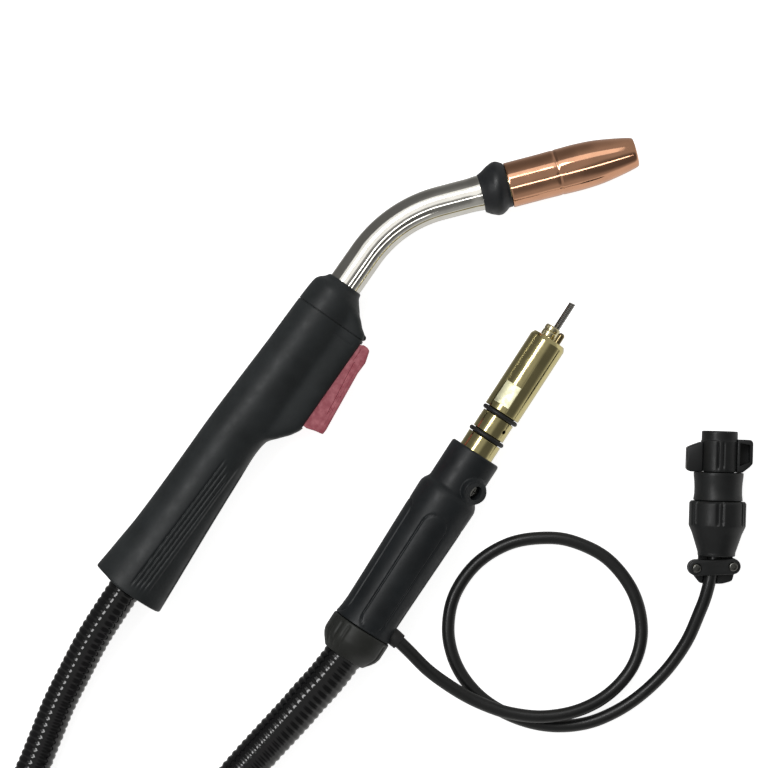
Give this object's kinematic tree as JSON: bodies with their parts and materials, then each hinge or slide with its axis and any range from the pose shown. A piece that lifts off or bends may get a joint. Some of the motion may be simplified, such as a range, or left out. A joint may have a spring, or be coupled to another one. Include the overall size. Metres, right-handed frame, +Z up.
{
  "type": "mig welding torch",
  "caption": "Gas-cooled MIG welding torch with a trigger hand piece, bent neck and slip-on nozzle, coiled cable, power-pin end and control plug.",
  "frame": {"origin": "on the table, under the middle of the hand piece, neck and power-pin end laid side by side", "axes": "+Z up from the table; the torch points towards +Y and +X, its power-pin end beside it on the -Y side, and the coiled cable lies at -X -Y"},
  "size_m": [0.4622, 0.565, 0.0533],
  "materials": {
    "charcoal_plastic": "fine matt moulded texture",
    "black_plastic": "smooth satin moulding",
    "conduit_plastic": "glossy, closely ribbed",
    "raspberry_plastic": "satin moulding",
    "black_rubber": "matt rubber",
    "white_nylon": "smooth moulding",
    "chrome": "polished plating",
    "copper": "polished copper, plated on the nozzle",
    "brass": "bright turned brass",
    "steel": "zinc-plated or spring steel",
    "webbing": "woven hook-and-loop strap"
  },
  "bodies": {
    "torch": {"cable_guard": "black_plastic", "coil_tie_1": "webbing", "coil_tie_2": "webbing", "contact_tip": "copper", "control_cord": "black_plastic", "control_cord_grommet": "black_rubber", "gas_diffuser": "brass", "handle_cable_ferrule": "black_rubber", "handle_front_cap": "charcoal_plastic", "handle_screw_1": "steel", "handle_screw_2": "steel", "handle_screw_3": "steel", "handle_screw_4": "steel", "handle_shell_lower": "charcoal_plastic", "handle_shell_upper": "charcoal_plastic", "housing_locking_screw": "steel", "liner_set_screw": "steel", "machine_end_liner": "steel", "main_cable_coil": "conduit_plastic", "main_cable_pin_side": "conduit_plastic", "main_cable_torch_side": "conduit_plastic", "neck_clamp_nut": "brass", "neck_conductor_tube": "copper", "neck_connector_block": "brass", "neck_insulating_sleeve": "white_nylon", "neck_jacket": "chrome", "nozzle_holder": "black_plastic", "nozzle_insulator": "black_plastic", "nozzle_retaining_clip": "steel", "o_ring_front": "black_rubber", "o_ring_rear": "black_rubber", "plug_backshell": "black_plastic", "plug_clamp_screw_left": "steel", "plug_clamp_screw_right": "steel", "plug_contact_1": "brass", "plug_contact_2": "brass", "plug_contact_3": "brass", "plug_contact_4": "brass", "plug_contact_insert": "black_plastic", "plug_cord_clamp": "black_plastic", "plug_shell": "black_plastic", "power_cable_in_handle": "black_rubber", "power_cable_in_housing": "black_rubber", "power_cable_terminal": "brass", "power_pin_body": "brass", "power_pin_nipple": "brass", "rear_collar": "charcoal_plastic", "rear_housing_lower": "charcoal_plastic", "rear_housing_upper": "charcoal_plastic", "switch_lead_1": "black_rubber", "switch_lead_2": "black_rubber", "torch_liner": "steel", "trigger_pivot_pin": "steel", "trigger_switch_body": "black_plastic"},
    "trigger": {"trigger": "raspberry_plastic", "trigger_return_spring": "steel"},
    "switch_plunger": {"switch_plunger": "white_nylon"},
    "nozzle": {"gas_nozzle": "copper"},
    "coupling_ring": {"plug_coupling_ring": "black_plastic"}
  },
  "joints": [
    {"name": "trigger_pull", "type": "hinge", "parent": "torch", "child": "trigger", "pos_m": [-0.01093, 0.03168, 0.017], "axis": [0, 0, -1], "range_deg": [0, 7], "stiffness_Nm_per_rad": 1, "springref_deg": -5.73},
    {"name": "switch_plunger_press", "type": "slide", "parent": "torch", "child": "switch_plunger", "axis": [-0.8192, 0.5736, 0], "range_m": [0, 0.0019]},
    {"name": "nozzle_slide", "type": "slide", "parent": "torch", "child": "nozzle", "axis": [0.9673, 0.2538, 0], "range_m": [0, 0.07]},
    {"name": "coupling_ring_turn", "type": "hinge", "parent": "torch", "child": "coupling_ring", "pos_m": [0.17763, -0.02423, 0.0146], "axis": [0.0297, 0.9996, 0], "continuous": true}
  ],
  "couplings": [
    {"joint": "switch_plunger_press", "follows": "trigger_pull", "m_per_rad": 0.0155}
  ]
}
